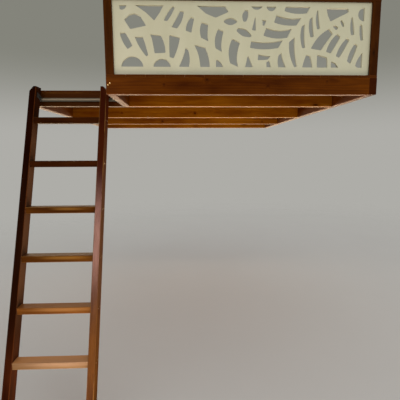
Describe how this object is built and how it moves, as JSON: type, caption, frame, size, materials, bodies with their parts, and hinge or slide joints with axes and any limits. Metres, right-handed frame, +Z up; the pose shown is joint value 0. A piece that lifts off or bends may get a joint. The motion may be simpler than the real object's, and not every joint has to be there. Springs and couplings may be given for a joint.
{
  "type": "loft platform with guard panel and ladder",
  "caption": "Timber sleeping loft between side walls, with a ladder hatch, a leaf-pierced guard panel between posts and a leaning ladder that hooks on a metal rail.",
  "frame": {"origin": "centre of the right ledger's wall face", "axes": "+X out of that face into the right wall, so the loft reaches to -X; +Y from the guard to the back wall; +Z up"},
  "size_m": [2.3, 3.1854, 2.5239],
  "materials": {
    "pine": "stained and varnished pine",
    "deck": "stained pine boards",
    "ladder": "dark stained and varnished pine",
    "panel": "painted board, satin cream white",
    "metal": "satin steel",
    "hook_metal": "flat steel, painted black"
  },
  "bodies": {
    "root": {"front_beam": "pine", "right_ledger": "pine", "left_ledger": "pine", "back_ledger": "pine", "hatch_trimmer": "pine", "hatch_joist": "pine", "joist_middle": "pine", "joist_rear": "pine", "deck_main": "deck", "deck_side": "deck", "post_left": "pine", "post_right": "pine", "top_rail": "pine", "guard_panel": "panel", "stile_left": "ladder", "stile_right": "ladder", "tread_1": "ladder", "tread_2": "ladder", "tread_3": "ladder", "tread_4": "ladder", "tread_5": "ladder", "tread_6": "ladder", "hanging_rail": "metal", "bracket_left": "metal", "bracket_right": "metal", "hook_left": "hook_metal", "hook_right": "hook_metal"}
  },
  "joints": []
}
